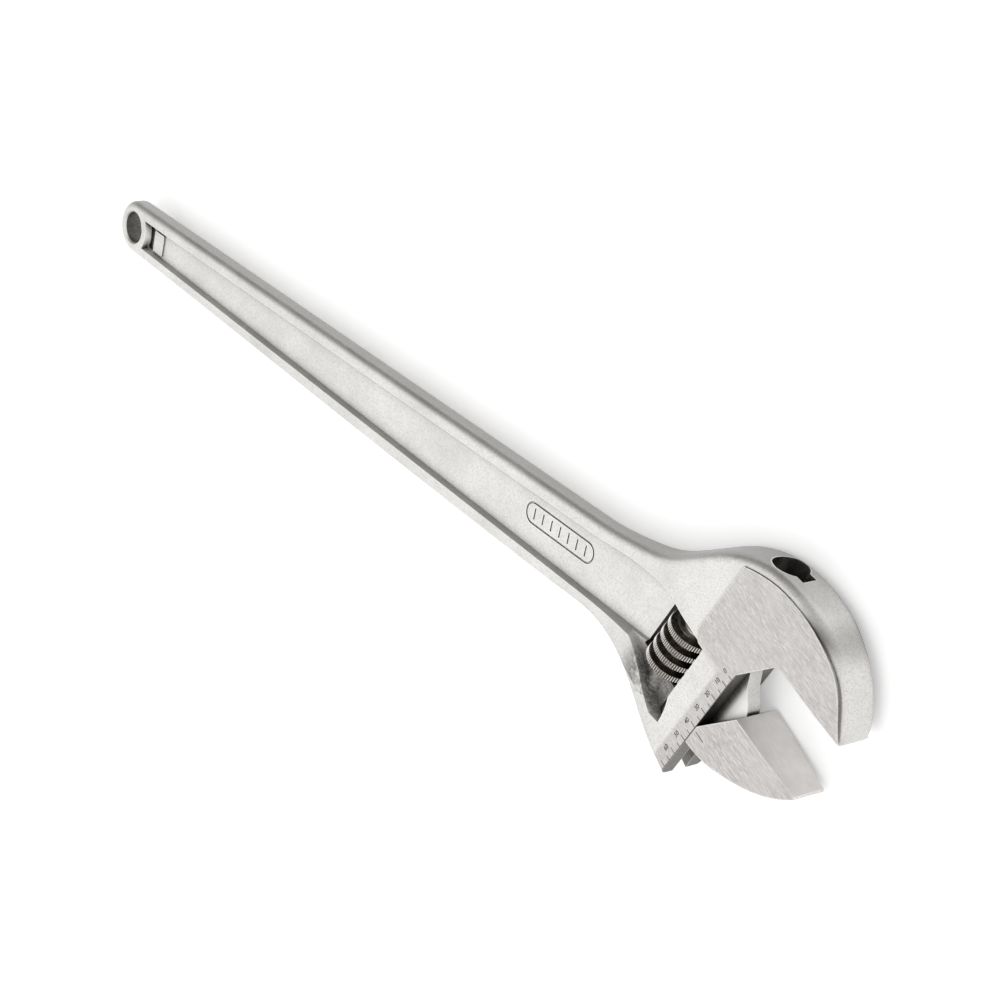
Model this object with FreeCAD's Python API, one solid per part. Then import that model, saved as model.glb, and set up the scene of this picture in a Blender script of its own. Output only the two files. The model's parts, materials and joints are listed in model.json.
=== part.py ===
"""Adjustable wrench, 600 mm (24 in) class, lying flat.

The origin is the centre of the hang hole at mid thickness, +X runs along the handle to the head,
+Y is the fixed jaw's side and +Z leaves the upper face. Sizes are millimetres.

Head coordinates: p runs along the gripping faces towards the jaw tips, q runs from the fixed jaw's
gripping face to the movable jaw, and z is the row's own. The head is turned by HEAD_ANGLE.
"""
import FreeCAD
import Part
import math
import os

V = FreeCAD.Vector

# Handle
HOLE_R = 9.0
HOLE_BEVEL = 1.0
END_R = 15.3
HANDLE_TAPER = 0.0183
HANDLE_LOW_TAPER = 0.0138
HANDLE_HALF = 6.0
HANDLE_EDGE_R = 4.3
PANEL_HALF = 8.3
PANEL_TAPER = 0.0169
PANEL_FLOOR = 3.0
PANEL_DRAFT = 1.5
RING_R = 14.0
RING_SAG = 2.2
END_POCKET_X = (14.6, 20.2)
END_POCKET_HALF = 6.8
END_POCKET_DEPTH = 1.7
END_PAD_X = (20.8, 30.8)
END_PAD_HALF = 6.2
END_PAD_RISE = 0.7
MARK_X = (375.0, 427.0)
MARK_Y = 3.2
MARK_HALF = 5.7
MARK_DEPTH = 0.5
MARK_LINE = 0.9
MARK_BARS = 7

# Head
HEAD_ANGLE = 22.5
HEAD_X = 546.2
HEAD_Y = 25.3
NECK_START_X = 425.0
NECK_END_X = 506.0
NECK_HALF = 11.8
BOSS_HALF = 12.5
FACE_HALVES = (BOSS_HALF, 12.2, 11.2, 8.8)
RIM_HALVES = (NECK_HALF, 11.1, 9.4, 8.0)
TIP_SLOPE = 0.11
BACK_EDGE_R = 4.7
NOSE_EDGE_R = 1.5
HEEL_EDGE_R = 2.0
JAW_TIP_P = 57.1
THROAT_P = 13.5
RELIEF_ANGLE = 60.0
BEAK_END_Q = 97.9
BEAK_EDGE_P = -20.5

# Rack channel, slot and worm window
CHANNEL_P = -17.5
CHANNEL_R = 8.3
SLOT_HALF = 4.1
WINDOW_P = (-51.3, BEAK_EDGE_P)
WINDOW_Q = (31.3, 67.0)
SCOOP_FLOOR = 4.5
HUMP_R = 6.3

# Movable jaw
REST_OPENING = 37.9
JAW_HEEL_Q = 72.0
RACK_R = 8.0
RACK_Q = (17.0, 89.0)
WEB_HALF = 3.9
SHELF_GAP = 0.1

# Worm, its pin and its spring
WORM_P = -36.0
WORM_R = 13.25
WORM_CORE_R = 9.2
WORM_Q = (37.6, 66.4)
WORM_PITCH = 7.3
CREST_WIDTH = 3.0
CREST_Q = 40.4
FLANK_DRAFT = 0.16
MESH_GAP = 0.3
HUB_R = 6.3
PIN_R = 3.5
PIN_FIT = 0.05
PIN_TOP_Q = 21.0
PIN_HEAD_R = 5.0
PIN_HEAD_LENGTH = 5.0
PIN_HEAD_Q = 80.0
END_PLAY = 0.15
SPRING_SEAT_Q = 54.0
SPRING_R = 4.9
SPRING_WIRE_R = 0.6
SPRING_COILS = 6

FAR = 300.0

COS = math.cos(math.radians(HEAD_ANGLE))
SIN = math.sin(math.radians(HEAD_ANGLE))
RELIEF_RUN = THROAT_P * math.tan(math.radians(RELIEF_ANGLE))


def head(p, q, z=0.0):
    """Point of the row frame at head coordinates p, q, z."""
    return V(HEAD_X + p * COS - q * SIN, HEAD_Y - p * SIN - q * COS, z)


P_DIR = head(1, 0) - head(0, 0)
Q_DIR = head(0, 1) - head(0, 0)
Z_DIR = V(0, 0, 1)


# ---- Drawing helpers ----

def line(a, b):
    return Part.LineSegment(a, b).toShape()


def lines(points):
    return [line(a, b) for a, b in zip(points, points[1:])]


def curve(points, start=None, end=None):
    """Smooth curve through the points, with optional directions at its two ends."""
    spline = Part.BSplineCurve()
    if start is None:
        spline.interpolate(Points=points)
    else:
        spline.interpolate(Points=points, InitialTangent=start, FinalTangent=end)
    return spline.toShape()


def arc(a, middle, b):
    return Part.Arc(a, middle, b).toShape()


def slab(edges, half):
    """Solid of the outline lying at z = 0, thickened to both sides."""
    face = Part.Face(Part.Wire(edges))
    face.translate(V(0, 0, -half))
    return face.extrude(V(0, 0, 2 * half))


def polygon_slab(points, half):
    return slab(lines(points + points[:1]), half)


def rod(p, q_start, q_end, radius):
    """Cylinder along q, centred at p and mid thickness."""
    return Part.makeCylinder(radius, q_end - q_start, head(p, q_start), Q_DIR)


def block(xs, y, half, zs, corner):
    """Box over the x and z ranges, centred at y, with rounded upright edges."""
    box = Part.makeBox(xs[1] - xs[0], 2 * half, zs[1] - zs[0], V(xs[0], y - half, zs[0]))
    return box.makeFillet(corner, [edge for edge in box.Edges if abs(edge.tangentAt(0).z) > 0.9])


def both_faces(cutter):
    """The cutter above mid thickness and its mirror image below."""
    return [cutter, cutter.mirror(V(0, 0, 0), Z_DIR)]


# ---- Outlines ----

def panel_half(x):
    return PANEL_HALF + PANEL_TAPER * x


def forging_outline():
    """Outline of the forged body at mid thickness, as named runs of edges."""
    taper = V(1, HANDLE_TAPER, 0).normalize()
    taper_low = V(1, -HANDLE_LOW_TAPER, 0).normalize()
    top_start = V(-END_R * taper.y, END_R * taper.x, 0)
    low_start = V(END_R * taper_low.y, -END_R * taper_low.x, 0)
    top_end = V(NECK_START_X, END_R + HANDLE_TAPER * NECK_START_X, 0)
    low_end = V(NECK_START_X, -END_R - HANDLE_LOW_TAPER * NECK_START_X, 0)
    crown_start = head(-38.4, -15)
    crown_dir = (P_DIR * 0.72 - Q_DIR * 0.69).normalize()
    nose_start = head(26, -31)
    nose_dir = (P_DIR * 0.96 + Q_DIR * 0.28).normalize()
    tip = head(JAW_TIP_P, 0)
    neck = curve([top_end, head(-82.4, 32.8), head(-68.9, 23.1), head(-58.3, 10.7), head(-49, -2.3),
                  crown_start],
                 taper, crown_dir)
    crown = curve([crown_start, head(-25.4, -24.9), head(-9.9, -31), head(8, -33.2), nose_start],
                  crown_dir, nose_dir)
    nose = curve([nose_start, head(42.3, -23.2), head(53.4, -10.9), tip], nose_dir,
                 (Q_DIR - P_DIR * 0.05).normalize())
    heel = curve([low_end, V(446, -24.6, 0), V(461, -31.5, 0), V(480, -45.2, 0), head(-14, 95.2)],
                 taper_low, (P_DIR + Q_DIR * 0.2).normalize())
    return {
        "end": arc(low_start, V(-END_R, 0, 0), top_start),
        "top": line(top_start, top_end),
        "neck": neck,
        "crown": crown,
        "nose": nose,
        "jaw": line(tip, head(THROAT_P, 0)),
        "relief": line(head(THROAT_P, 0), head(0, RELIEF_RUN)),
        "shelf": line(head(0, RELIEF_RUN), head(0, BEAK_END_Q)),
        "beak": line(head(0, BEAK_END_Q), head(-14, 95.2)),
        "heel": heel,
        "low": line(low_end, low_start),
    }


def boss_outline():
    """Outline of the raised ground face of the head, running out past the gripping face."""
    back = [head(56.6, 0), head(49, -9.5), head(40, -19.3), head(30, -24.8), head(20, -27.6), head(10, -28.6),
            head(0, -28), head(-10, -26), head(-20, -22), head(-29, -17)]
    corner = [head(-29, 24), head(-27, 29.5), head(-22, 32)]
    return [curve(back), line(back[-1], corner[0]), arc(*corner)] + lines([
        corner[-1], head(-22, 60), head(56.6, 60), back[0]])


# ---- Thickness profiles ----

def thickness_envelope(points, start, end, direction, depth):
    """Solid under the thickness curve through the points and over its mirror image.

    The curve runs on level to the points' near side, and the solid is extruded along direction.
    """
    top = curve(points, start, end)
    near = V(points[0].x, points[0].y, points[0].z) - start * (2 * FAR)
    far = points[-1] + start * FAR
    edges = []
    for edge in (line(near, points[0]), top, line(points[-1], far)):
        edges += both_faces(edge)
    for point in (near, far):
        edges.append(line(point, V(point.x, point.y, -point.z)))
    return Part.Face(Part.Wire(Part.__sortEdges__(edges))).extrude(direction * depth)


def neck_envelope(head_half):
    """Thins the flat blank from the head down to the handle."""
    rise = head_half - HANDLE_HALF
    points = [V(NECK_START_X, -FAR, HANDLE_HALF), V(478, -FAR, HANDLE_HALF + 0.52 * rise),
              V(NECK_END_X, -FAR, head_half)]
    return thickness_envelope(points, V(1, 0, 0), V(1, 0, 0), V(0, 1, 0), 2 * FAR)


def jaw_envelope(heights):
    """Thins a jaw towards its tip, through half thicknesses at p = 0, 18, 36 and just past the tip."""
    points = [head(p, -FAR, z) for p, z in zip((0, 18, 36, JAW_TIP_P + 4), heights)]
    return thickness_envelope(points, P_DIR, (P_DIR - Z_DIR * TIP_SLOPE).normalize(), Q_DIR, 3 * FAR)


# ---- Forged body ----

EDGE_RADII = {
    "end": (HANDLE_EDGE_R, HANDLE_EDGE_R),
    "top": (HANDLE_EDGE_R, HANDLE_EDGE_R),
    "low": (HANDLE_EDGE_R, HANDLE_EDGE_R),
    "neck": (HANDLE_EDGE_R, BACK_EDGE_R),
    "crown": (BACK_EDGE_R, BACK_EDGE_R),
    "nose": (BACK_EDGE_R, NOSE_EDGE_R),
    "heel": (HANDLE_EDGE_R, HEEL_EDGE_R),
}


def with_rounded_edges(solid, radii_of):
    """Rounds each edge of the solid for which radii_of gives its start and end radius."""
    document = FreeCAD.newDocument("rounding")
    base = document.addObject("Part::Feature", "base")
    base.Shape = solid
    rounded = document.addObject("Part::Fillet", "rounded")
    rounded.Base = base
    found = [(i + 1, radii_of(edge)) for i, edge in enumerate(solid.Edges)]
    rounded.Edges = [(i, radii[0], radii[1]) for i, radii in found if radii]
    document.recompute()
    shape = rounded.Shape.copy()
    FreeCAD.closeDocument("rounding")
    return shape


def rounded_forging():
    """The forging before any machining: flat blank, thinned and with its long edges rounded."""
    outline = forging_outline()
    flat = slab(list(outline.values()), BOSS_HALF)
    heel_side = polygon_slab([V(NECK_START_X, -FAR, 0), V(NECK_START_X, -5, 0), V(470, -5, 0),
                              head(-45, WINDOW_Q[0] + 2), head(90, WINDOW_Q[0] + 2), head(90, FAR)], FAR)
    blank = flat.cut(heel_side).common(neck_envelope(NECK_HALF)).common(jaw_envelope(RIM_HALVES))
    blank = blank.fuse(flat.common(heel_side).common(neck_envelope(BOSS_HALF)))

    def share_along(run, point):
        parameter = run.Curve.parameter(point)
        end = max(parameter, run.FirstParameter + 1e-6)
        return run.Curve.toShape(run.FirstParameter, end).Length / run.Length

    def radii_of(edge):
        first = edge.valueAt(edge.FirstParameter)
        last = edge.valueAt(edge.LastParameter)
        middle = edge.valueAt((edge.FirstParameter + edge.LastParameter) / 2)
        if first.z * last.z < 0:
            return None
        first, middle, last = [V(point.x, point.y, 0) for point in (first, middle, last)]
        for name, (start_radius, end_radius) in EDGE_RADII.items():
            run = outline[name]
            if max(run.distToShape(Part.Vertex(point))[0] for point in (first, middle, last)) > 0.01:
                continue
            radii = [start_radius + (end_radius - start_radius) * share_along(run, point)
                     for point in (first, last)]
            return radii[::-1] if edge.Orientation == "Reversed" else radii
        return None

    return with_rounded_edges(blank.Solids[0], radii_of)


def boss():
    """Ground head that stands proud of the forging on both faces."""
    flat = slab(list(forging_outline().values()), BOSS_HALF)
    return flat.common(slab(boss_outline(), BOSS_HALF)).common(jaw_envelope(FACE_HALVES))


def panel_recess():
    """Sunken handle panel, from the ring round the hang hole to the worm window."""
    def outline(z):
        lift = (z - PANEL_FLOOR) / (HANDLE_HALF - PANEL_FLOOR)
        grow = -PANEL_DRAFT + PANEL_DRAFT * lift

        def at(x, y):
            return V(x, y, z)

        left = RING_R - grow
        half = panel_half(left) + grow
        corner = left - RING_SAG
        taper = V(1, PANEL_TAPER, 0).normalize()
        top = curve([at(NECK_START_X, panel_half(NECK_START_X) + grow), at(452, 17.1 + grow * 0.7),
                     at(472, 17.2 + grow * 0.4), head(WINDOW_P[0] + 3, WINDOW_Q[0] - 0.05, z)], taper, P_DIR)
        low_end = at(476, -panel_half(476) - grow)
        return Part.Wire([
            line(at(corner, half), at(NECK_START_X, panel_half(NECK_START_X) + grow)), top,
            line(head(WINDOW_P[0] + 3, WINDOW_Q[0] - 0.05, z), low_end),
            line(low_end, at(corner, -half)),
            arc(at(corner, -half), at(left, 0), at(corner, half))])

    return Part.makeLoft([outline(PANEL_FLOOR), outline(BOSS_HALF + 1)], True, True)


def end_pocket():
    """Deeper pocket of the panel beside the hang hole's ring."""
    pocket = block(END_POCKET_X, 0, END_POCKET_HALF, (PANEL_FLOOR - END_POCKET_DEPTH, HANDLE_HALF), 1.5)
    return pocket.cut(Part.makeCylinder(RING_R + PANEL_DRAFT + 0.4, FAR, V(0, 0, -FAR / 2)))


def panel_mark():
    """Engraved oblong frame with a row of upright bars, cut into the upper panel's floor."""
    zs = (PANEL_FLOOR - MARK_DEPTH, HANDLE_HALF)
    outer = block(MARK_X, MARK_Y, MARK_HALF, zs, 0.98 * MARK_HALF)
    inner_half = MARK_HALF - MARK_LINE
    inner = block((MARK_X[0] + MARK_LINE, MARK_X[1] - MARK_LINE), MARK_Y, inner_half, zs, 0.98 * inner_half)
    mark = [outer.cut(inner)]
    spacing = (MARK_X[1] - MARK_X[0]) / (MARK_BARS + 1)
    for i in range(MARK_BARS):
        x = MARK_X[0] + (i + 1) * spacing
        mark.append(block((x - MARK_LINE / 2, x + MARK_LINE / 2), MARK_Y, MARK_HALF / 2, zs, 0.3 * MARK_LINE))
    return mark


def heel_scoop():
    """Rough hollow between the lower rim, the worm window and the beak."""
    def outline(z, inset):
        rim = [V(452, -15.2 + inset * 0.1, z), V(464, -18.6 + inset, z), V(476, -27.6 + inset, z),
               V(485, -37.0 + inset, z), V(492 + inset * 0.2, -42.2 + inset, z)]
        beak = [head(-17 - inset * 0.5, 80.5 - inset, z), head(-17.6 - inset * 0.6, 75, z),
                head(-20.5 - inset * 0.5, 66, z)]
        back = head(-46, 60, z)
        return Part.Wire([curve(rim), line(rim[-1], beak[0]), curve(beak), line(beak[-1], back),
                          line(back, rim[0])])

    return Part.makeLoft([outline(SCOOP_FLOOR, 3.0), outline(BOSS_HALF + 1, -0.6)], True, True)


def slot_cut():
    """Slot for the jaw's web, from the channel out through the shelf and the throat."""
    end_q = BEAK_END_Q + 20
    return polygon_slab([
        head(CHANNEL_P, -70), head(-6, -70), head(-6, -30), head(2.5, -17), head(THROAT_P + 3, 4),
        head(THROAT_P + 3, end_q), head(CHANNEL_P, end_q)], SLOT_HALF)


def forged_body():
    body = rounded_forging().fuse(boss())
    for cutter in both_faces(panel_recess()) + both_faces(heel_scoop()) + both_faces(end_pocket()):
        body = body.cut(cutter)
    for pad in both_faces(block(END_PAD_X, 0, END_PAD_HALF, (0, PANEL_FLOOR + END_PAD_RISE), 0.8)):
        body = body.fuse(pad)
    for cutter in panel_mark():
        body = body.cut(cutter)
    hump = rod(WORM_P, WINDOW_Q[1] - 4, 84, HUMP_R)
    body = body.fuse(hump.common(slab(list(forging_outline().values()), BOSS_HALF)))
    window = polygon_slab([head(p, q) for p, q in (
        (WINDOW_P[0], WINDOW_Q[0]), (WINDOW_P[1], WINDOW_Q[0]), (WINDOW_P[1], WINDOW_Q[1]),
        (WINDOW_P[0], WINDOW_Q[1]))], 2 * BOSS_HALF)
    body = body.cut(window)
    body = body.cut(rod(CHANNEL_P, -80, BEAK_END_Q + 20, CHANNEL_R)).cut(slot_cut())
    body = body.cut(rod(WORM_P, PIN_TOP_Q, 120, PIN_R + PIN_FIT))
    body = body.cut(rod(WORM_P, PIN_HEAD_Q, 120, PIN_HEAD_R + PIN_FIT))
    hole = Part.makeCylinder(HOLE_R, 4 * HANDLE_HALF, V(0, 0, -2 * HANDLE_HALF))
    body = body.cut(hole)
    bevel = Part.makeCone(HOLE_R, HOLE_R + 2 * HOLE_BEVEL, 2 * HOLE_BEVEL, V(0, 0, HANDLE_HALF - HOLE_BEVEL))
    for cutter in both_faces(bevel):
        body = body.cut(cutter)
    return body.removeSplitter()


# ---- Movable jaw ----

def movable_jaw():
    """Jaw at its rest opening, with its web and the round rack that the worm drives."""
    opening = REST_OPENING
    gap = SHELF_GAP
    gap_q = opening + RELIEF_RUN * (1 - gap / THROAT_P)
    face = [head(gap, gap_q), head(THROAT_P, opening), head(JAW_TIP_P - 0.6, opening)]
    tip = arc(face[-1], head(JAW_TIP_P, opening + 0.8), head(JAW_TIP_P - 0.5, opening + 2.2))
    front = curve([head(JAW_TIP_P - 0.5, opening + 2.2), head(50, 48), head(40, 56.5), head(28, 63.6),
                   head(14, 69.6), head(gap, JAW_HEEL_Q)])
    jaw = slab(lines(face) + [tip, front, line(head(gap, JAW_HEEL_Q), face[0])], BOSS_HALF)
    jaw = jaw.common(jaw_envelope(FACE_HALVES))
    web_edge = curve([head(12.8, opening + 3), head(9.4, 35.8), head(5.6, 32.0), head(2.6, 27.2),
                      head(-0.6, 21.5), head(-9, 17.5)])
    web = slab([web_edge] + lines([head(-9, 17.5), head(CHANNEL_P, 17.5), head(CHANNEL_P, 80), head(-8.5, 80),
                                   head(gap, JAW_HEEL_Q), head(20, 60), head(12.8, opening + 3)]), WEB_HALF)
    rack = rod(CHANNEL_P, RACK_Q[0], RACK_Q[1], RACK_R)
    rack = rack.makeChamfer(0.8, rack.Edges)
    for groove in rack_grooves():
        rack = rack.cut(groove)
    return jaw.fuse([web, rack]).removeSplitter()


def thread_half_width(radius):
    return CREST_WIDTH / 2 + (WORM_R - radius) * FLANK_DRAFT


def rack_grooves():
    """Rings about the worm's axis, tilted by the thread's lead, that clear its thread in the rack."""
    inner = WORM_CORE_R + MESH_GAP
    outer = WORM_R + MESH_GAP
    lead_angle = math.degrees(math.atan(WORM_PITCH / (2 * math.pi * (WORM_P - CHANNEL_P + RACK_R) * -1)))
    first_q = CREST_Q - WORM_PITCH / 4
    first = math.ceil((RACK_Q[0] - first_q) / WORM_PITCH) - 1
    last = math.floor((RACK_Q[1] - first_q) / WORM_PITCH) + 1
    grooves = []
    for turn in range(first, last + 1):
        q = first_q + turn * WORM_PITCH
        half_in = thread_half_width(inner) + MESH_GAP
        half_out = thread_half_width(outer) + MESH_GAP
        profile = [head(WORM_P + inner, q - half_in), head(WORM_P + outer, q - half_out),
                   head(WORM_P + outer, q + half_out), head(WORM_P + inner, q + half_in)]
        face = Part.Face(Part.Wire(lines(profile + profile[:1])))
        ring = face.revolve(head(WORM_P, q), Q_DIR, 360)
        ring.rotate(head(WORM_P, q), P_DIR, lead_angle)
        grooves.append(ring)
    return grooves


# ---- Worm, pin and spring ----

def along_worm(shape):
    """Places a shape drawn with x along p and its axis on z at the worm's axis, z becoming q."""
    turned = shape.copy()
    worm_frame = FreeCAD.Placement(head(WORM_P, 0), FreeCAD.Rotation(P_DIR, Z_DIR, Q_DIR, "ZXY"))
    turned.Placement = worm_frame.multiply(shape.Placement)
    return turned


def helical_sweep(profile, pitch, turns, radius, start_q):
    """Solid swept by a closed profile, drawn in the xz plane, along a right-handed helix."""
    helix = Part.makeHelix(pitch, turns * pitch, radius)
    swept = Part.Wire(helix.Edges).makePipeShell([profile], True, True)
    swept.translate(V(0, 0, start_q))
    return swept


def adjusting_worm():
    """Right-handed single-start worm on its hub."""
    length = WORM_Q[1] - WORM_Q[0]
    core = Part.makeCylinder(WORM_CORE_R, length, V(0, 0, WORM_Q[0]))
    core.rotate(V(0, 0, 0), Z_DIR, 77)
    base = WORM_CORE_R - 1.5
    half_in = thread_half_width(base)
    half_out = thread_half_width(WORM_R)
    profile = [V(base, 0, -half_in), V(WORM_R, 0, -half_out), V(WORM_R, 0, half_out), V(base, 0, half_in)]
    turns = math.ceil(length / WORM_PITCH) + 3
    start_q = CREST_Q - WORM_PITCH / 4 - 2 * WORM_PITCH
    thread = helical_sweep(Part.Wire(lines(profile + profile[:1])), WORM_PITCH, turns, WORM_R, start_q)
    thread = thread.common(Part.makeCylinder(WORM_R + 1, length, V(0, 0, WORM_Q[0])))
    hub_q = WINDOW_Q[0] + END_PLAY
    worm = core.fuse(thread).fuse(Part.makeCylinder(HUB_R, WORM_Q[0] + 1 - hub_q, V(0, 0, hub_q)))
    worm = worm.cut(Part.makeCylinder(PIN_R + PIN_FIT, 2 * FAR, V(0, 0, -FAR)))
    seat_r = SPRING_R + SPRING_WIRE_R + 0.4
    return along_worm(worm.cut(Part.makeCylinder(seat_r, FAR, V(0, 0, SPRING_SEAT_Q))))


def worm_pin():
    """Axle of the worm, put in from the heel, with a slotted head below the surface."""
    shaft = rod(WORM_P, PIN_TOP_Q + 0.5, PIN_HEAD_Q + 0.5, PIN_R)
    cap = rod(WORM_P, PIN_HEAD_Q + 0.1, PIN_HEAD_Q + 0.1 + PIN_HEAD_LENGTH, PIN_HEAD_R)
    slot = polygon_slab([head(WORM_P - 10, PIN_HEAD_Q + 3.6), head(WORM_P + 10, PIN_HEAD_Q + 3.6),
                         head(WORM_P + 10, 120), head(WORM_P - 10, 120)], 0.8)
    return shaft.fuse(cap).cut(slot).removeSplitter()


def worm_spring():
    """Coil spring round the pin, in the worm's end bore, that takes up its play."""
    start_q = SPRING_SEAT_Q + SPRING_WIRE_R + 0.1
    length = WINDOW_Q[1] - SPRING_WIRE_R - 0.1 - start_q
    corners = [V(SPRING_R, 0, 0) + V(math.cos(math.radians(a)), 0, math.sin(math.radians(a))) * SPRING_WIRE_R
               for a in range(0, 360, 60)]
    section = Part.Wire(lines(corners + corners[:1]))
    return along_worm(helical_sweep(section, length / SPRING_COILS, SPRING_COILS, SPRING_R, start_q))


PARTS = {
    "forged_body": forged_body,
    "movable_jaw": movable_jaw,
    "adjusting_worm": adjusting_worm,
    "worm_pin": worm_pin,
    "worm_spring": worm_spring,
}

os.makedirs("parts", exist_ok=True)
for name, make in PARTS.items():
    shape = make()
    print(name, shape.ShapeType, len(shape.Solids), shape.isValid(), round(shape.Volume))
    shape.exportStep("parts/" + name + ".step")
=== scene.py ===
"""Looks of the adjustable wrench: materials, knurled worm, jaw scale, studio and camera.

The frame is the row's: the origin is the hang hole's centre, +X runs along the handle to
the head and +Z leaves the upper face. Everything is in metres unless a comment says millimetres.
"""

import json
import math

import bmesh
import bpy
from mathutils import Matrix, Quaternion, Vector


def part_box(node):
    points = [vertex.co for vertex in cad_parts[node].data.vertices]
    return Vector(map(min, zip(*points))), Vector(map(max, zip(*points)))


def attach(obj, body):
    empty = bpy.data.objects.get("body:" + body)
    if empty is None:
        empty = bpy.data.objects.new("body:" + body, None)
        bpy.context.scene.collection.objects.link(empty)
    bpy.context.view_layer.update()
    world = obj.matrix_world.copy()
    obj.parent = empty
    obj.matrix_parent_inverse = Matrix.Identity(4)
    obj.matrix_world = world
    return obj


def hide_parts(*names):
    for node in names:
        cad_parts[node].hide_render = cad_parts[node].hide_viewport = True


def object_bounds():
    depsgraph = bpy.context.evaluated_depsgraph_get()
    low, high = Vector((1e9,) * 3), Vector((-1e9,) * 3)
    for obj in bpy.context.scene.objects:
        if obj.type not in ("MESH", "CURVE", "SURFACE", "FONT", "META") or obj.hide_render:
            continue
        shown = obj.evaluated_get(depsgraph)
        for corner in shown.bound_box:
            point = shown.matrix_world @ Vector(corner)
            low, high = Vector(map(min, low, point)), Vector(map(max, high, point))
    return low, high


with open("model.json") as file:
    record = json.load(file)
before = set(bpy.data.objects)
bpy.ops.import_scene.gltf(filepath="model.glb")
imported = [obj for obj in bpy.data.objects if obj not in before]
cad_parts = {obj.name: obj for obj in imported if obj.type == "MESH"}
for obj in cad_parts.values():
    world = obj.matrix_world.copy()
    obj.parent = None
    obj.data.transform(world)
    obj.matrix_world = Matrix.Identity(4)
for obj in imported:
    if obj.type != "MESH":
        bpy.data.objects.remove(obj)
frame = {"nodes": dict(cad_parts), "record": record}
cad_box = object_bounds()
nodes = frame["nodes"]
record = frame["record"]
behaviour = record["behaviour"]
joint = {j["name"]: j for j in behaviour["joints"]}
mount = {m["name"]: m for m in record["mounts"]}
MM = 0.001

# ---- Head coordinates: p along the gripping faces, q from the fixed to the movable jaw ----

Q_DIR = Vector(joint["jaw_slide"]["axis"]).normalized()
Z_DIR = Vector((0, 0, 1))
P_DIR = Q_DIR.cross(Z_DIR) * -1
if P_DIR.x < 0:
    P_DIR = -P_DIR
FACE_MOUNT_P = 35 * MM
HEAD = Vector(mount["fixed_jaw_face"]["pos_m"]) - P_DIR * FACE_MOUNT_P
GRAIN_TURN = math.atan2(P_DIR.y, P_DIR.x)
FACE_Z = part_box("movable_jaw")[1].z


def head(p, q, z=0.0):
    """Point at head coordinates given in millimetres."""
    return HEAD + P_DIR * (p * MM) + Q_DIR * (q * MM) + Z_DIR * (z * MM)


def head_of(point):
    """Head coordinates, in millimetres, of a point of the frame."""
    away = point - HEAD
    return away.dot(P_DIR) / MM, away.dot(Q_DIR) / MM, point.z / MM


# ---- Worm ----

PITCH = 2 * math.pi / abs(behaviour["couplings"][0]["ratio"])
WORM_AXIS = Vector(joint["worm_spin"]["pos_m"])
WORM_P = head_of(WORM_AXIS)[0]
CREST_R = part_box("adjusting_worm")[1].z
ROOT_R = 9.2 * MM
HUB_R = 6.3 * MM
BORE_R = 3.55 * MM
SEAT_R = 5.9 * MM
WORM_START = 37.6 * MM
WORM_END = 66.4 * MM
HUB_START = 31.45 * MM
HUB_EDGE = 0.3 * MM
SEAT_START = 54.0 * MM
CREST_AT = 40.4 * MM
HALF_CREST = 1.5 * MM
HALF_ROOT = 2.12 * MM
CREST_EDGE = 0.18 * MM
ROOT_FILLET = 0.35 * MM
KNURLS_PER_TURN = 68
KNURL_DEPTH = 0.5 * MM
KNURL_SHAPE = (0.0, 0.7, 1.0, 0.7)
THREAD_TURNS = range(-1, 6)
HUB_FACETS = 64


# ---- Materials ----

# Colours for the wear and shade helper: lighter edges, partly rubbed wear and partly a painted
# highlight, and painted shade in creases.
WEAR_HIGHLIGHT_COLOUR = (0.93, 0.92, 0.90, 1)
WEAR_HIGHLIGHT_RADIUS = 1.2 * MM
PAINTED_CREASE_SHADE = (0.035, 0.032, 0.028, 1)
# Painted shade for the handle's upper flank and for the valley beside the raised face.
PAINTED_SHADE_COLOUR = (0.10, 0.096, 0.09, 1)
PAINTED_SHADE_SIDE = tuple(Vector((-0.5, 0.86, 0)).normalized())
VALLEY_P, VALLEY_Q = 19.0 * MM, -28.5 * MM
VALLEY_HALF_P, VALLEY_HALF_Q = 21.0 * MM, 6.5 * MM


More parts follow.
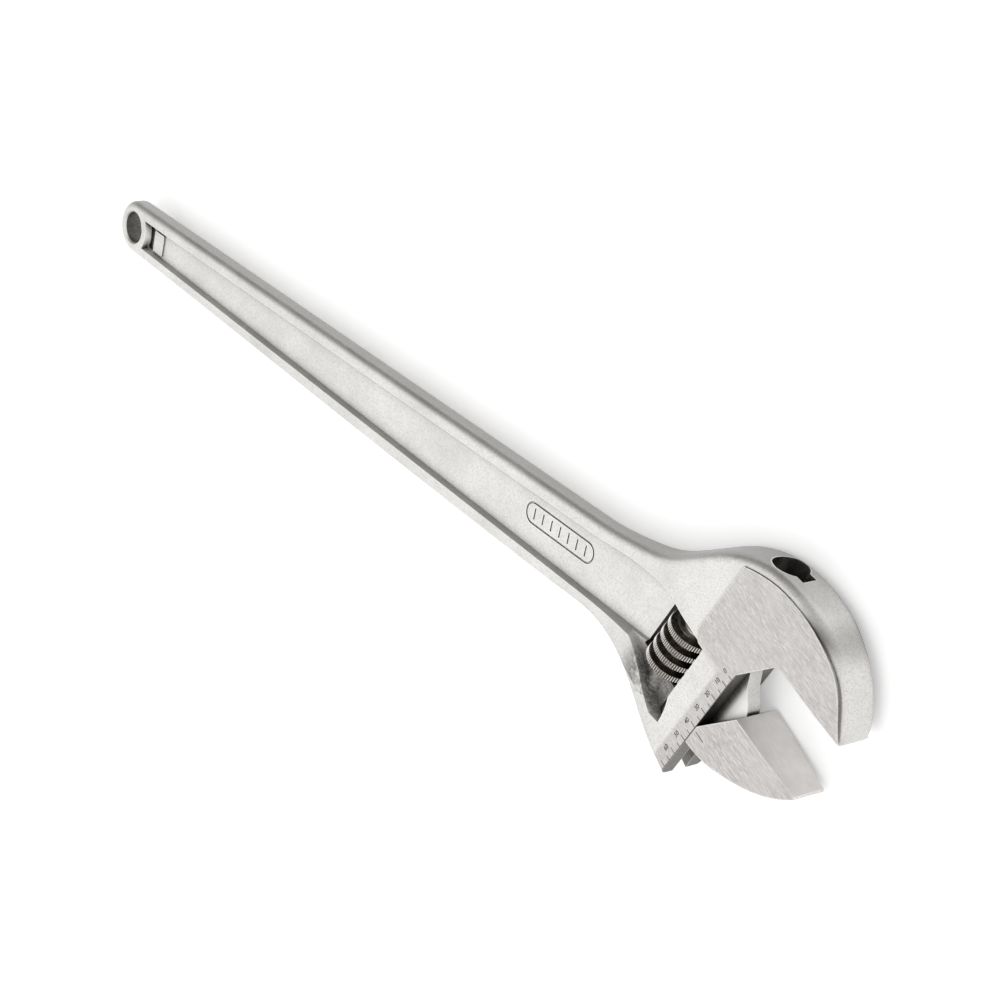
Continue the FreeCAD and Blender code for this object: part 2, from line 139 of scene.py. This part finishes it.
class Graph:
    """Short calls for building a material's node tree."""

    def __init__(self, name):
        self.material = bpy.data.materials.new(name)
        self.material.use_nodes = True
        self.tree = self.material.node_tree
        self.shader = self.tree.nodes["Principled BSDF"]
        coordinates = self.tree.nodes.new("ShaderNodeTexCoord")
        self.place = coordinates.outputs["Object"]

    def node(self, kind, inputs=None, **settings):
        made = self.tree.nodes.new(kind)
        for key, value in settings.items():
            setattr(made, key, value)
        for key, value in (inputs or {}).items():
            self.put(made.inputs[key], value)
        return made

    def put(self, socket, value):
        if isinstance(value, bpy.types.NodeSocket):
            self.tree.links.new(value, socket)
        else:
            socket.default_value = value

    def noise(self, scale, detail=3.0, stretch=None, turn=0.0, roughness=0.55):
        place = self.place
        if stretch:
            for change in ({"Rotation": (0, 0, -turn)}, {"Scale": stretch}):
                place = self.node("ShaderNodeMapping", {"Vector": place, **change}).outputs[0]
        return self.node("ShaderNodeTexNoise", {"Vector": place, "Scale": scale, "Detail": detail,
                                                "Roughness": roughness}).outputs["Fac"]

    def spread(self, value, low, high, start=0.3, end=0.7, kind="LINEAR"):
        """The value's range from start to end, stretched to run from low to high."""
        ends = {"From Min": start, "From Max": end, "To Min": low, "To Max": high}
        made = self.node("ShaderNodeMapRange", {"Value": value, **ends}, interpolation_type=kind)
        return made.outputs["Result"]

    def smooth(self, value, low, high, start, end):
        """The same stretch with eased ends."""
        return self.spread(value, low, high, start, end, "SMOOTHSTEP")

    def masked(self, a, b):
        """Where both masks hold."""
        return self.math("MULTIPLY", a, b)

    def mix(self, share, a, b):
        made = self.node("ShaderNodeMix", {"Factor": share}, data_type="RGBA")
        self.put(made.inputs["A"], a)
        self.put(made.inputs["B"], b)
        return made.outputs["Result"]

    def math(self, operation, a, b=0.0):
        made = self.node("ShaderNodeMath", operation=operation)
        self.put(made.inputs[0], a)
        self.put(made.inputs[1], b)
        return made.outputs[0]

    def bump(self, height, distance, strength=1.0, normal=None):
        made = self.node("ShaderNodeBump", {"Height": height, "Distance": distance,
                                            "Strength": strength})
        if normal is not None:
            self.put(made.inputs["Normal"], normal)
        return made.outputs["Normal"]

    def soft_edges(self, radius):
        return self.node("ShaderNodeBevel", {"Radius": radius}, samples=4).outputs["Normal"]

    def vectors(self, operation, a, b, output=0):
        return self.node("ShaderNodeVectorMath", {0: a, 1: b}, operation=operation).outputs[output]

    def dot(self, a, b):
        return self.vectors("DOT_PRODUCT", a, b, "Value")

    def place_in_head(self):
        """Head coordinates p and q of the shaded point, in metres."""
        away = self.vectors("SUBTRACT", self.place, tuple(HEAD))
        return self.dot(away, tuple(P_DIR)), self.dot(away, tuple(Q_DIR))

    def facing(self):
        """Direction of the shaded surface, before any bump."""
        return self.node("ShaderNodeNewGeometry").outputs["Normal"]

    def axis(self, name):
        """One coordinate of the shaded point, in metres."""
        return self.node("ShaderNodeSeparateXYZ", {0: self.place}).outputs[name]

    def worn(self, colour, reach, crease_shade, wear_highlight):
        """The colour with painted shade darkening the creases, and with edges made lighter, partly
        as rubbed wear and partly as a painted highlight.
        """
        # Painted shade darkens the colour where ambient occlusion finds creases and corners; edges
        # lighten, partly as rubbed wear and partly as a painted highlight.
        occlusion = self.node("ShaderNodeAmbientOcclusion", {"Distance": reach}, samples=4)
        openness = occlusion.outputs["AO"]
        turned = self.dot(self.soft_edges(WEAR_HIGHLIGHT_RADIUS), self.facing())
        edge = self.smooth(turned, 1, 0, 0.8, 0.998)
        share = self.masked(edge, self.smooth(openness, 0, wear_highlight, 0.75, 1.0))
        colour = self.mix(share, colour, WEAR_HIGHLIGHT_COLOUR)
        return self.mix(self.smooth(openness, crease_shade, 0, 0.3, 0.96), colour, PAINTED_CREASE_SHADE)

    def finish(self, colour, roughness, normal, metallic=1.0):
        self.put(self.shader.inputs["Base Color"], colour)
        self.put(self.shader.inputs["Roughness"], roughness)
        self.put(self.shader.inputs["Normal"], normal)
        self.shader.inputs["Metallic"].default_value = metallic
        return self.material


def toned(g, colour, depth):
    """The colour, darkened with painted shade on the outer flank of the handle's upper side and in
    the valley beside the raised face."""
    upper = g.smooth(g.axis("Y"), 0, depth, -4 * MM, 6 * MM)
    flank = g.masked(g.smooth(g.dot(g.facing(), PAINTED_SHADE_SIDE), 0, 1, 0.35, 1.0), upper)
    p, q = g.place_in_head()
    along = g.math("ABSOLUTE", g.math("DIVIDE", g.math("SUBTRACT", p, VALLEY_P), VALLEY_HALF_P))
    across = g.math("ABSOLUTE", g.math("DIVIDE", g.math("SUBTRACT", q, VALLEY_Q), VALLEY_HALF_Q))
    valley = g.masked(g.smooth(along, 0.85, 0, 0, 1), g.smooth(across, 1, 0, 0, 1))
    return g.mix(g.math("MAXIMUM", flank, valley), colour, PAINTED_SHADE_COLOUR)


def satin_look(g):
    """Forged and plated surface: smooth, with faint unevenness and fine blasted grain."""
    cloud = g.noise(34, 4)
    blast = g.noise(1100, 3, roughness=0.75)
    speck = g.noise(420, 5, roughness=0.8)
    colour = g.mix(g.spread(cloud, 0, 1), (0.60, 0.59, 0.57, 1), (0.75, 0.74, 0.72, 1))
    colour = g.mix(g.spread(blast, 0.4, 0, 0.35, 0.55), colour, (0.34, 0.33, 0.315, 1))
    colour = g.mix(g.spread(speck, 0.16, 0, 0.34, 0.5), colour, (0.42, 0.41, 0.39, 1))
    # Painted shade on the handle's upper flank and in the valley, painted shade in creases, and
    # edges lightened partly by rubbed wear and partly as a painted highlight.
    colour = g.worn(toned(g, colour, 0.6), 7 * MM, 1.0, 0.9)
    normal = g.bump(speck, 0.25 * MM, 0.5, g.soft_edges(0.6 * MM))
    normal = g.bump(blast, 0.10 * MM, 0.6, normal)
    return colour, g.spread(cloud, 0.30, 0.42), normal


def ground_look(g):
    """Machined face: fine short grinding scratches along the gripping direction."""
    fine = g.noise(1, 4, (260, 2700, 800), GRAIN_TURN, 0.75)
    broad = g.noise(1, 4, (90, 640, 260), GRAIN_TURN, 0.7)
    cloud = g.noise(48, 4)
    colour = g.mix(g.spread(fine, 0, 1, 0.36, 0.60),
                   (0.29, 0.28, 0.27, 1), (0.68, 0.66, 0.645, 1))
    colour = g.mix(g.spread(broad, 0.6, 0, 0.36, 0.56), colour, (0.36, 0.345, 0.335, 1))
    colour = g.mix(g.spread(cloud, 0, 0.4), colour, (0.60, 0.565, 0.555, 1))
    # Painted shade in creases, and edges lightened partly by rubbed wear and partly as a painted
    # highlight.
    colour = g.worn(colour, 5 * MM, 0.8, 0.6)
    normal = g.bump(fine, 0.16 * MM, 0.6, g.soft_edges(0.3 * MM))
    normal = g.bump(broad, 0.2 * MM, 0.4, normal)
    return colour, g.spread(fine, 0.32, 0.5), normal


def blended(g, share, below, above):
    """Two looks mixed by a share, as colour, roughness and normal."""
    made = [g.mix(share, below[0], above[0])]
    for index, kind in ((1, "FLOAT"), (2, "VECTOR")):
        mixed = g.node("ShaderNodeMix", {"Factor": share}, data_type=kind)
        sockets = [socket for socket in mixed.inputs if socket.enabled]
        g.put(sockets[1], below[index])
        g.put(sockets[2], above[index])
        made.append([socket for socket in mixed.outputs if socket.enabled][0])
    return made


def satin_steel():
    g = Graph("satin_steel")
    return g.finish(*satin_look(g))


def ground_steel():
    """The flat faces of the head: ground from the scale's band to the jaws and on the fixed
    jaw's side, satin elsewhere, with a thin strip of painted shade where the movable jaw meets the
    head."""
    g = Graph("ground_steel")
    p, q = g.place_in_head()
    band = g.spread(p, 0, 1, -9.2 * MM, -7.6 * MM)
    raised = g.masked(g.spread(q, 1, 0, 28.5 * MM, 33.5 * MM),
                      g.spread(p, 0, 1, -29.2 * MM, -28.9 * MM))
    ground = g.math("MAXIMUM", band, raised)
    colour, rough, normal = blended(g, ground, satin_look(g), ground_look(g))
    # Painted shade: a thin dark strip along the edge where the movable jaw meets the head.
    gap_shade = g.masked(g.smooth(g.math("ABSOLUTE", p), 0.85, 0, 0.15 * MM, 0.55 * MM),
                    g.smooth(q, 0, 1, 20 * MM, 30 * MM))
    return g.finish(g.mix(gap_shade, colour, (0.04, 0.036, 0.032, 1)), rough, normal)


def gripping_steel():
    """Gripping faces: finer and lighter than the outer ground faces."""
    g = Graph("gripping_steel")
    fine = g.noise(1, 3, (160, 160, 2600), GRAIN_TURN)
    cloud = g.noise(90, 3)
    colour = g.mix(g.spread(cloud, 0, 1), (0.62, 0.60, 0.585, 1), (0.71, 0.695, 0.68, 1))
    colour = g.mix(g.spread(fine, 0, 0.35), colour, (0.48, 0.46, 0.445, 1))
    normal = g.bump(fine, 0.05 * MM, 0.4, g.soft_edges(0.3 * MM))
    return g.finish(colour, g.spread(fine, 0.36, 0.46), normal)


def forged_steel():
    """Rough forged skin deep in the hollow by the worm, running out into the satin rim."""
    g = Graph("forged_steel")
    pits = g.noise(800, 5, roughness=0.7)
    lumps = g.noise(210, 4)
    colour = g.mix(g.spread(pits, 0, 1), (0.10, 0.096, 0.09, 1), (0.62, 0.61, 0.59, 1))
    colour = g.mix(g.spread(lumps, 0.5, 0), colour, (0.16, 0.155, 0.145, 1))
    # Painted shade in creases, and edges lightened partly by rubbed wear and partly as a painted
    # highlight.
    colour = g.worn(colour, 8 * MM, 0.9, 0.2)
    normal = g.bump(pits, 0.6 * MM, 0.8, g.soft_edges(0.6 * MM))
    normal = g.bump(lumps, 0.9 * MM, 0.6, normal)
    height = g.math("ABSOLUTE", g.axis("Z"))
    ragged = g.math("ADD", height, g.spread(lumps, -1.5 * MM, 1.5 * MM))
    p = g.place_in_head()[0]
    share = g.masked(g.smooth(ragged, 1, 0, 8.0 * MM, 11.8 * MM),
                     g.smooth(p, 0, 1, -60 * MM, -46 * MM))
    rough_skin = (colour, g.spread(pits, 0.42, 0.6), normal)
    return g.finish(*blended(g, share, satin_look(g), rough_skin))


def cavity_steel():
    """Machined bores and slots, darkened with painted shade; the shelf under the jaw is paler
    towards the throat with painted light, and the throat itself is painted light."""
    g = Graph("cavity_steel")
    rings = g.noise(1, 3, (400, 2200, 400), GRAIN_TURN)
    p, q = g.place_in_head()
    # Painted light on the shelf under the jaw, strongest towards the throat.
    shelf_light = g.masked(g.smooth(p, 0, 1, -1.2 * MM, -0.6 * MM), g.smooth(q, 1, 0, 4 * MM, 36 * MM))
    # Painted shade: the dark base colour of the bores and slots.
    colour = g.mix(g.spread(rings, 0, 1), (0.10, 0.095, 0.088, 1), (0.24, 0.23, 0.215, 1))
    colour = g.mix(shelf_light, colour, (0.40, 0.385, 0.37, 1))
    # Painted light in the throat, then painted shade in creases and edges lightened partly by
    # rubbed wear and partly as a painted highlight.
    throat_light = g.masked(g.smooth(p, 0, 1, 1 * MM, 5 * MM), g.smooth(q, 0, 1, -6 * MM, 0.0))
    colour = g.worn(g.mix(throat_light, colour, (0.85, 0.84, 0.82, 1)), 3 * MM, 0.5, 0.4)
    normal = g.bump(rings, 0.1 * MM, 0.5, g.soft_edges(0.3 * MM))
    return g.finish(colour, g.spread(rings, 0.4, 0.55), normal)


def worm_steel(crest_radius):
    """Oiled dark steel with rubbed crests and hub, told apart by the distance from the
    worm's axis."""
    g = Graph("worm_steel")
    away = g.vectors("SUBTRACT", g.place, tuple(WORM_AXIS))
    on_axis = g.node("ShaderNodeVectorMath", {0: tuple(Q_DIR)}, operation="SCALE")
    g.put(on_axis.inputs["Scale"], g.dot(away, tuple(Q_DIR)))
    across = g.vectors("SUBTRACT", away, on_axis.outputs[0])
    radius = g.node("ShaderNodeVectorMath", {0: across}, operation="LENGTH").outputs["Value"]
    crest = g.spread(radius, 0, 1, crest_radius - 0.35 * MM, crest_radius - 0.05 * MM)
    hub = g.spread(radius, 1, 0, HUB_R + 0.1 * MM, HUB_R + 0.6 * MM)
    cloud = g.noise(420, 4)
    groove = g.mix(g.spread(cloud, 0, 1), (0.09, 0.078, 0.066, 1), (0.26, 0.235, 0.205, 1))
    colour = g.mix(g.math("MAXIMUM", crest, hub), groove, (0.95, 0.93, 0.90, 1))
    normal = g.bump(g.noise(1500, 3), 0.06 * MM, 0.5, g.soft_edges(0.15 * MM))
    return g.finish(colour, g.spread(cloud, 0.26, 0.42), normal)


def pin_steel():
    g = Graph("pin_steel")
    turning = g.noise(1, 3, (600, 2400, 600), GRAIN_TURN)
    colour = g.mix(g.spread(turning, 0, 1), (0.45, 0.44, 0.43, 1), (0.62, 0.61, 0.60, 1))
    normal = g.bump(turning, 0.05 * MM, 0.4, g.soft_edges(0.2 * MM))
    return g.finish(colour, g.spread(turning, 0.25, 0.4), normal)


def spring_steel():
    g = Graph("spring_steel")
    drawn = g.noise(1800, 3)
    colour = g.mix(g.spread(drawn, 0, 1), (0.36, 0.34, 0.32, 1), (0.55, 0.53, 0.51, 1))
    return g.finish(colour, g.spread(drawn, 0.22, 0.38), g.bump(drawn, 0.03 * MM, 0.4))


def mark_fill():
    """Dark oxide left in the engraved marks."""
    g = Graph("mark_fill")
    cloud = g.noise(1400, 3)
    colour = g.mix(g.spread(cloud, 0, 1), (0.05, 0.045, 0.04, 1), (0.17, 0.155, 0.14, 1))
    return g.finish(colour, g.spread(cloud, 0.5, 0.7), g.bump(cloud, 0.05 * MM, 0.5), 0.6)


# The steels of the body and the jaw, and the place of each in a node's list of materials.
STEELS = [satin_steel(), ground_steel(), gripping_steel(), forged_steel(), cavity_steel()]
SATIN, GROUND, GRIP, FORGED, CAVITY_SHADED = range(5)
MARK = mark_fill()

# Limits of the finishes on the head, in millimetres of p, q and z.
HANG_HOLE_R = 9.3
HEAD_START_P = -72
CHANNEL_P, CHANNEL_R, CHANNEL_END_Q = -17.5, 8.4, 100
RAISED_Z, RAISED_FALL = 12.15, 0.0075
GRIP_P, GRIP_Q = 10, -1
SHELF_HALF_P, SHELF_Q = 0.6, 3
SLOT_HALF_Z, SLOT_P = 4.3, -17
WINDOW_P, WINDOW_Q = (-51.6, -20.3), (31, 67.3)
SCOOP_P, SCOOP_Q, SCOOP_Z = (-72, -14), (34, 84), (4.3, 12.4)
SCOOP_HEEL_P, SCOOP_HEEL_Q = -60, 67.2


def between(value, limits):
    return limits[0] < value < limits[1]


def finish_of(centre, normal):
    """Which of the steels a facet takes, from its place and direction."""
    p, q, z = head_of(centre)
    z = abs(z)
    level = abs(normal.z)
    along_p, along_q = abs(normal.dot(P_DIR)), abs(normal.dot(Q_DIR))
    if p < HEAD_START_P:
        return CAVITY_SHADED if centre.xy.length < HANG_HOLE_R * MM else SATIN
    if math.hypot(p - CHANNEL_P, z) < CHANNEL_R and q < CHANNEL_END_Q:
        return CAVITY_SHADED
    if level > 0.95 and z > RAISED_Z - RAISED_FALL * max(p, 0.0) ** 1.5:
        return GROUND
    if along_q > 0.98 and p > GRIP_P and q > GRIP_Q:
        return GRIP
    if along_p > 0.98 and abs(p) < SHELF_HALF_P and q > SHELF_Q:
        return CAVITY_SHADED
    if level > 0.99 and z < SLOT_HALF_Z and p > SLOT_P:
        return CAVITY_SHADED
    in_window = between(p, WINDOW_P) and between(q, WINDOW_Q)
    if in_window and level < 0.1 and max(along_p, along_q) > 0.98:
        return CAVITY_SHADED
    in_scoop = between(p, SCOOP_P) and between(q, SCOOP_Q) and between(z, SCOOP_Z)
    if in_scoop and (q < SCOOP_HEEL_Q or p > SCOOP_HEEL_P):
        return FORGED
    return SATIN


def dress(node, materials):
    """Gives a CAD node its materials, facet by facet."""
    mesh = nodes[node].data
    mesh.materials.clear()
    for material in materials:
        mesh.materials.append(material)
    if len(materials) > 1:
        for facet in mesh.polygons:
            facet.material_index = finish_of(facet.center, facet.normal)


dress("forged_body", STEELS)
dress("movable_jaw", STEELS)
dress("worm_pin", [pin_steel()])
dress("worm_spring", [spring_steel()])
dress("adjusting_worm", [worm_steel(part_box("adjusting_worm")[1].z)])


# ---- Jaw scale and index, with the sizes of the marks in millimetres ----

MARK_PROUD = 0.02
MARK_DEEP = 0.06
MARK_WIDTH = 0.42
TICK_END_P = -0.4
LONG_TICK_P = -3.5
SHORT_TICK_P = -2.4
LONG_TICKS = range(32, 93, 10)
SHORT_TICKS = range(27, 88, 10)
INDEX = (1.6, 63, 7.5, 63)
NUMBER_P = -5.4
NUMBER_QS = (27, 34.5, 44, 54, 64, 74, 84.5)
NUMBER_SIZE = 3.2
NUMBER_WEIGHT = 0.06
NUMBER_RISE = 0.03


def piece(name, data, body, material):
    made = bpy.data.objects.new(name, data)
    bpy.context.scene.collection.objects.link(made)
    data.materials.append(material)
    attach(made, body)
    return made


def scored_lines(name, body, strokes):
    """Thin filled score marks on the upper face; each stroke is (p1, q1, p2, q2) in millimetres."""
    mesh = bpy.data.meshes.new(name)
    bm = bmesh.new()
    for p1, q1, p2, q2 in strokes:
        a, b = head(p1, q1), head(p2, q2)
        tip = (b - a).normalized() * (MARK_WIDTH * MM / 2)
        side = tip.cross(Z_DIR)
        ring = [a - side, a - tip, a + side, b + side, b + tip, b - side]
        low = [bm.verts.new(v + Z_DIR * (FACE_Z - MARK_DEEP * MM)) for v in ring]
        high = [bm.verts.new(v + Z_DIR * (FACE_Z + MARK_PROUD * MM)) for v in ring]
        bm.faces.new(high)
        bm.faces.new(low[::-1])
        for i in range(len(ring)):
            j = (i + 1) % len(ring)
            bm.faces.new((low[i], low[j], high[j], high[i]))
    bmesh.ops.recalc_face_normals(bm, faces=bm.faces)
    bm.to_mesh(mesh)
    bm.free()
    return piece(name, mesh, body, MARK)


ticks = [(LONG_TICK_P, q, TICK_END_P, q) for q in LONG_TICKS]
ticks += [(SHORT_TICK_P, q, TICK_END_P, q) for q in SHORT_TICKS]
scored_lines("scale_ticks", "body", ticks)
scored_lines("jaw_index", "jaw", [INDEX])


def scale_number(text, q):
    curve = bpy.data.curves.new("scale_" + text, "FONT")
    curve.body = text
    curve.size = NUMBER_SIZE * MM
    curve.offset = NUMBER_WEIGHT * MM
    curve.align_x = "CENTER"
    curve.align_y = "CENTER"
    curve.extrude = NUMBER_RISE * MM
    made = bpy.data.objects.new("scale_number_" + text, curve)
    bpy.context.scene.collection.objects.link(made)
    curve.materials.append(MARK)
    turn = Matrix((-Q_DIR, -P_DIR, Z_DIR)).transposed().to_4x4()
    turn.translation = head(NUMBER_P, q, FACE_Z / MM)
    made.matrix_world = turn
    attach(made, "body")


for value, q in zip(range(0, 70, 10), NUMBER_QS):
    scale_number(str(value), q)


# ---- Knurled worm ----

def about_worm(radius, angle, q):
    """Point at a radius and angle about the worm's axis; the angle turns from p towards z."""
    spoke = P_DIR * math.cos(angle) + Z_DIR * math.sin(angle)
    return HEAD + P_DIR * (WORM_P * MM) + Q_DIR * q + spoke * radius


def thread_profile():
    """One pitch of the thread as (distance along q, radius, share of the knurl's depth)."""
    side = [(HALF_ROOT + ROOT_FILLET, ROOT_R, 0), (HALF_ROOT, ROOT_R + ROOT_FILLET, 0),
            (HALF_CREST + CREST_EDGE * 0.3, CREST_R - CREST_EDGE, 0.25),
            (HALF_CREST - CREST_EDGE, CREST_R, 1), (HALF_CREST * 0.35, CREST_R, 1)]
    return [(-PITCH / 2, ROOT_R, 0)] + [(-a, r, k) for a, r, k in side] + side[::-1]


def knurled_worm():
    """The worm's thread with its crest knurled, its hub, bore and spring seat, in one mesh."""
    bm = bmesh.new()
    steps = KNURLS_PER_TURN * len(KNURL_SHAPE)
    profile = thread_profile()
    columns = []
    for i in range(steps):
        angle = 2 * math.pi * i / steps
        notch = KNURL_DEPTH * KNURL_SHAPE[i % len(KNURL_SHAPE)]
        column = []
        for turn in THREAD_TURNS:
            for offset, radius, knurl in profile:
                q = CREST_AT + offset + PITCH * (turn + angle / (2 * math.pi) - 0.25)
                column.append(bm.verts.new(about_worm(radius - notch * knurl, angle, q)))
        columns.append(column)
    # After a full turn the last column meets the first one, one pitch of profile points further on.
    for i, a in enumerate(columns):
        b = columns[(i + 1) % steps]
        shift = len(profile) if i == steps - 1 else 0
        for j in range(len(a) - 1 - shift):
            bm.faces.new((a[j], a[j + 1], b[j + 1 + shift], b[j + shift]))
    for q, outward in ((WORM_START, -1), (WORM_END, 1)):
        bmesh.ops.bisect_plane(bm, geom=bm.verts[:] + bm.edges[:] + bm.faces[:], dist=1e-7,
                               plane_co=about_worm(0, 0, q), plane_no=Q_DIR * outward,
                               clear_outer=True)
    inner = [(HUB_R, WORM_START), (HUB_R, HUB_START + HUB_EDGE), (HUB_R - HUB_EDGE, HUB_START),
             (BORE_R, HUB_START), (BORE_R, SEAT_START), (SEAT_R, SEAT_START), (SEAT_R, WORM_END)]
    angles = [2 * math.pi * k / HUB_FACETS for k in range(HUB_FACETS)]
    rings = [[bm.verts.new(about_worm(radius, angle, q)) for angle in angles]
             for radius, q in inner]
    for low, high in zip(rings, rings[1:]):
        for k in range(HUB_FACETS):
            n = (k + 1) % HUB_FACETS
            bm.faces.new((low[k], low[n], high[n], high[k]))
    for q in (WORM_START, WORM_END):
        rim = [e for e in bm.edges if e.is_boundary
               and all(abs((v.co - about_worm(0, 0, q)).dot(Q_DIR)) < 2e-6 for v in e.verts)]
        bmesh.ops.triangle_fill(bm, use_beauty=True, use_dissolve=False, edges=rim)
    bmesh.ops.recalc_face_normals(bm, faces=bm.faces[:])
    mesh = bpy.data.meshes.new("knurled_worm")
    bm.to_mesh(mesh)
    bm.free()
    return mesh


WORM_STEEL = nodes["adjusting_worm"].data.materials[0]
worm = piece("knurled_worm", knurled_worm(), "worm", WORM_STEEL)
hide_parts("adjusting_worm")


# ---- Studio ----

FLOOR_GAP = 0.5 * MM
FLOOR_HALF = 6.0
FLOOR_GLOW = 0.3
TENT_STRENGTH = 1.2
DARKER_SIDES = (
    # direction, where the darkening starts and is full (as cosines), colour
    ((-0.62, 0.75, 0.18), 0.45, 1.0, (0.30, 0.295, 0.285, 1)),
    ((0.2, -0.95, 0.2), 0.70, 1.0, (0.55, 0.55, 0.55, 1)),
)


def studio_floor():
    """Pale paper just under the part."""
    low = cad_box[0].z - FLOOR_GAP
    mesh = bpy.data.meshes.new("studio_floor")
    corners = ((-1, -1), (1, -1), (1, 1), (-1, 1))
    points = [(x * FLOOR_HALF, y * FLOOR_HALF, low) for x, y in corners]
    mesh.from_pydata(points, [], [(0, 1, 2, 3)])
    floor = bpy.data.objects.new("studio_floor", mesh)
    bpy.context.scene.collection.objects.link(floor)
    g = Graph("studio_paper")
    cloud = g.noise(3, 2)
    colour = g.mix(g.spread(cloud, 0, 1), (0.83, 0.83, 0.83, 1), (0.86, 0.86, 0.86, 1))
    g.shader.inputs["Emission Color"].default_value = (1, 1, 1, 1)
    g.shader.inputs["Emission Strength"].default_value = FLOOR_GLOW
    mesh.materials.append(g.finish(colour, 0.9, g.bump(g.noise(600, 2), 0.05 * MM, 0.2), 0.0))


def studio_world():
    """Soft white tent with darker sides, which give the rounded edges their grey gradient."""
    world = bpy.data.worlds.new("studio")
    bpy.context.scene.world = world
    world.use_nodes = True
    tree = world.node_tree
    background = tree.nodes["Background"]
    direction = tree.nodes.new("ShaderNodeTexCoord").outputs["Generated"]
    colour = None
    for toward, start, end, shade in DARKER_SIDES:
        dot = tree.nodes.new("ShaderNodeVectorMath")
        dot.operation = "DOT_PRODUCT"
        tree.links.new(direction, dot.inputs[0])
        dot.inputs[1].default_value = Vector(toward).normalized()
        share = tree.nodes.new("ShaderNodeMapRange")
        share.interpolation_type = "SMOOTHSTEP"
        share.inputs["From Min"].default_value = start
        share.inputs["From Max"].default_value = end
        tree.links.new(dot.outputs["Value"], share.inputs["Value"])
        mix = tree.nodes.new("ShaderNodeMix")
        mix.data_type = "RGBA"
        tree.links.new(share.outputs["Result"], mix.inputs["Factor"])
        if colour is None:
            mix.inputs["A"].default_value = (1, 1, 1, 1)
        else:
            tree.links.new(colour, mix.inputs["A"])
        mix.inputs["B"].default_value = shade
        colour = mix.outputs["Result"]
    tree.links.new(colour, background.inputs["Color"])
    background.inputs["Strength"].default_value = TENT_STRENGTH


def soft_light(name, place, target, size, power):
    light = bpy.data.lights.new(name, "AREA")
    light.shape = "DISK"
    light.size = size
    light.energy = power
    made = bpy.data.objects.new(name, light)
    bpy.context.scene.collection.objects.link(made)
    made.location = place
    made.rotation_mode = "QUATERNION"
    made.rotation_quaternion = (Vector(target) - Vector(place)).to_track_quat("-Z", "Y")


CAMERA_SENSOR = 36
CAMERA_LENS = 87.87
CAMERA_PLACE = (1.15089, 0.49894, 0.74148)
CAMERA_TURN = (0.880999, -0.153993, 0.409220, 0.180738)


def camera():
    """The view of the reference photograph; the lens and sensor are in camera millimetres."""
    data = bpy.data.cameras.new("camera")
    data.sensor_width = CAMERA_SENSOR
    data.lens = CAMERA_LENS
    data.clip_start = 0.05
    data.clip_end = 30
    made = bpy.data.objects.new("camera", data)
    bpy.context.scene.collection.objects.link(made)
    made.location = CAMERA_PLACE
    made.rotation_mode = "QUATERNION"
    made.rotation_quaternion = Quaternion(CAMERA_TURN)
    bpy.context.scene.camera = made


studio_floor()
studio_world()
soft_light("key", (-0.5, -0.6, 1.5), (0.35, 0, 0), 1.2, 0.9)
soft_light("fill", (1.3, -1.0, 1.0), (0.5, 0, 0), 1.0, 0.6)
camera()
bpy.context.scene.view_settings.view_transform = "Standard"
